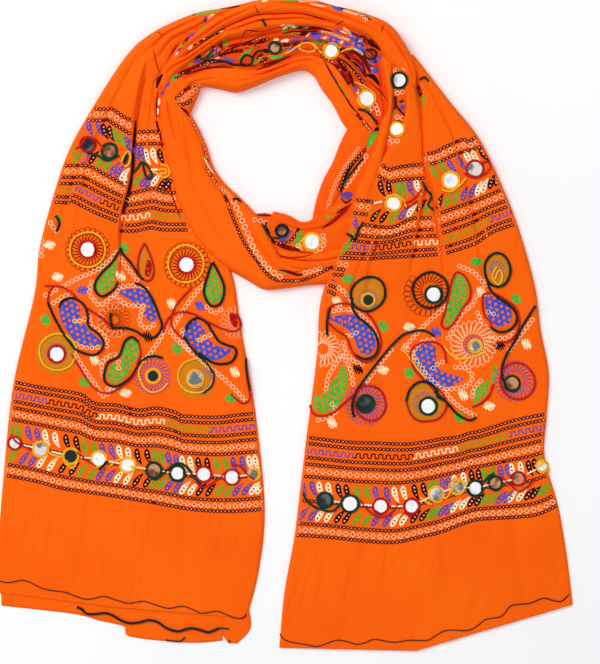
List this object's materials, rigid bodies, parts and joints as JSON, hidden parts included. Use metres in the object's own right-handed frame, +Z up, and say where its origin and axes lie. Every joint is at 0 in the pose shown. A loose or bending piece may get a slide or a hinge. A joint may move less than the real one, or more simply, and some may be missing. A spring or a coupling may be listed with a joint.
{
  "type": "mirror work dupatta",
  "caption": "Long embroidered cotton scarf with stitched-on mirrors, wound once round an empty neck opening and laid flat, both ends hanging side by side.",
  "frame": {"origin": "on the surface the scarf lies on, under the middle of its bounding box", "axes": "+Z up out of the surface, +Y from the hems towards the back of the neck, +X towards the end that lies on the right"},
  "size_m": [0.574, 0.6538, 0.0251],
  "materials": {
    "cotton": "plain woven cotton, block printed and embroidered",
    "mirror": "polished silvered glass"
  },
  "bodies": {
    "root": {"back_inner": "cotton", "back_inner_strand": "cotton", "back_middle": "cotton", "back_outer": "cotton", "back_second": "cotton", "back_shoulder": "cotton", "cross_lower": "cotton", "cross_mirror": "cotton", "cross_upper": "cotton", "front_left": "cotton", "mirror_left_band_1": "mirror", "mirror_left_band_10": "mirror", "mirror_left_band_2": "mirror", "mirror_left_band_3": "mirror", "mirror_left_band_4": "mirror", "mirror_left_band_5": "mirror", "mirror_left_band_6": "mirror", "mirror_left_band_7": "mirror", "mirror_left_band_8": "mirror", "mirror_left_band_9": "mirror", "mirror_left_field_1": "mirror", "mirror_left_field_2": "mirror", "mirror_left_field_3": "mirror", "mirror_left_field_4": "mirror", "mirror_left_field_5": "mirror", "mirror_neck_1": "mirror", "mirror_neck_2": "mirror", "mirror_neck_3": "mirror", "mirror_neck_4": "mirror", "mirror_neck_5": "mirror", "mirror_neck_6": "mirror", "mirror_neck_7": "mirror", "mirror_right_band_1": "mirror", "mirror_right_band_10": "mirror", "mirror_right_band_2": "mirror", "mirror_right_band_3": "mirror", "mirror_right_band_4": "mirror", "mirror_right_band_5": "mirror", "mirror_right_band_6": "mirror", "mirror_right_band_7": "mirror", "mirror_right_band_8": "mirror", "mirror_right_band_9": "mirror", "mirror_right_field_1": "mirror", "mirror_right_field_2": "mirror", "mirror_right_field_3": "mirror", "mirror_right_field_4": "mirror", "mirror_right_field_5": "mirror", "mirror_right_field_6": "mirror", "mirror_shoulder_bands_1": "mirror", "mirror_shoulder_bands_2": "mirror", "mirror_shoulder_bands_3": "mirror", "mirror_shoulder_bands_4": "mirror", "mirror_shoulder_bands_5": "mirror", "right_inner": "cotton", "right_pocket": "cotton", "right_roll": "cotton", "tail_left": "cotton", "tail_left_corner": "cotton", "tail_left_under": "cotton", "tail_right": "cotton"}
  },
  "joints": []
}
